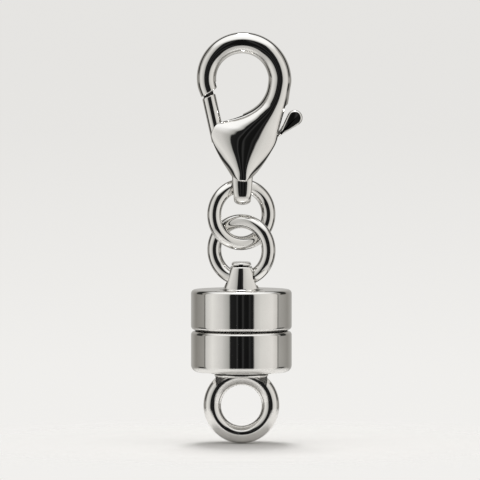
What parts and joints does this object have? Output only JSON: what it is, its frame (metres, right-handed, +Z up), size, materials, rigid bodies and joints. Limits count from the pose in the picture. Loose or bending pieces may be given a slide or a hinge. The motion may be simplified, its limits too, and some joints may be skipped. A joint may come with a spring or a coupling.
{
  "type": "magnetic converter clasp",
  "caption": "Claw clasp on interlocked jump rings above a magnetic barrel that pulls apart, with a round eye below for a chain.",
  "frame": {"origin": "crown inside the hook's bend, where the clasp hangs on a ring or chain end", "axes": "+Z up along the clasp from the eye to the hook, +X right towards the thumb tab, +Y away from the viewer along the barrel's depth"},
  "size_m": [0.0089, 0.008, 0.0329],
  "materials": {
    "polished": "polished bright silver plating",
    "magnet_plate": "nickel plated"
  },
  "bodies": {
    "clasp": {"hook_body": "polished", "gate_pin": "polished", "ring_upper": "polished", "ring_lower": "polished"},
    "gate_lever": {"gate": "polished"},
    "upper_half": {"upper_cup": "polished", "upper_magnet": "magnet_plate"},
    "lower_half": {"lower_cup": "polished", "lower_magnet": "magnet_plate"}
  },
  "joints": [
    {"name": "gate_hinge", "type": "hinge", "parent": "clasp", "child": "gate_lever", "pos_m": [0.00014, 0, -0.00725], "axis": [0, 1, 0], "range_deg": [0, 28], "stiffness_Nm_per_rad": 0.01, "springref_deg": -17.19},
    {"name": "drop_swing", "type": "hinge", "parent": "clasp", "child": "upper_half", "pos_m": [0, 0, -0.01811], "axis": [1, 0, 0], "range_deg": [-35, 35]},
    {"name": "magnet_pull", "type": "slide", "parent": "upper_half", "child": "lower_half", "axis": [0, 0, -1], "range_m": [0, 0.006], "stiffness_N_per_m": 50, "springref_m": -0.01}
  ]
}
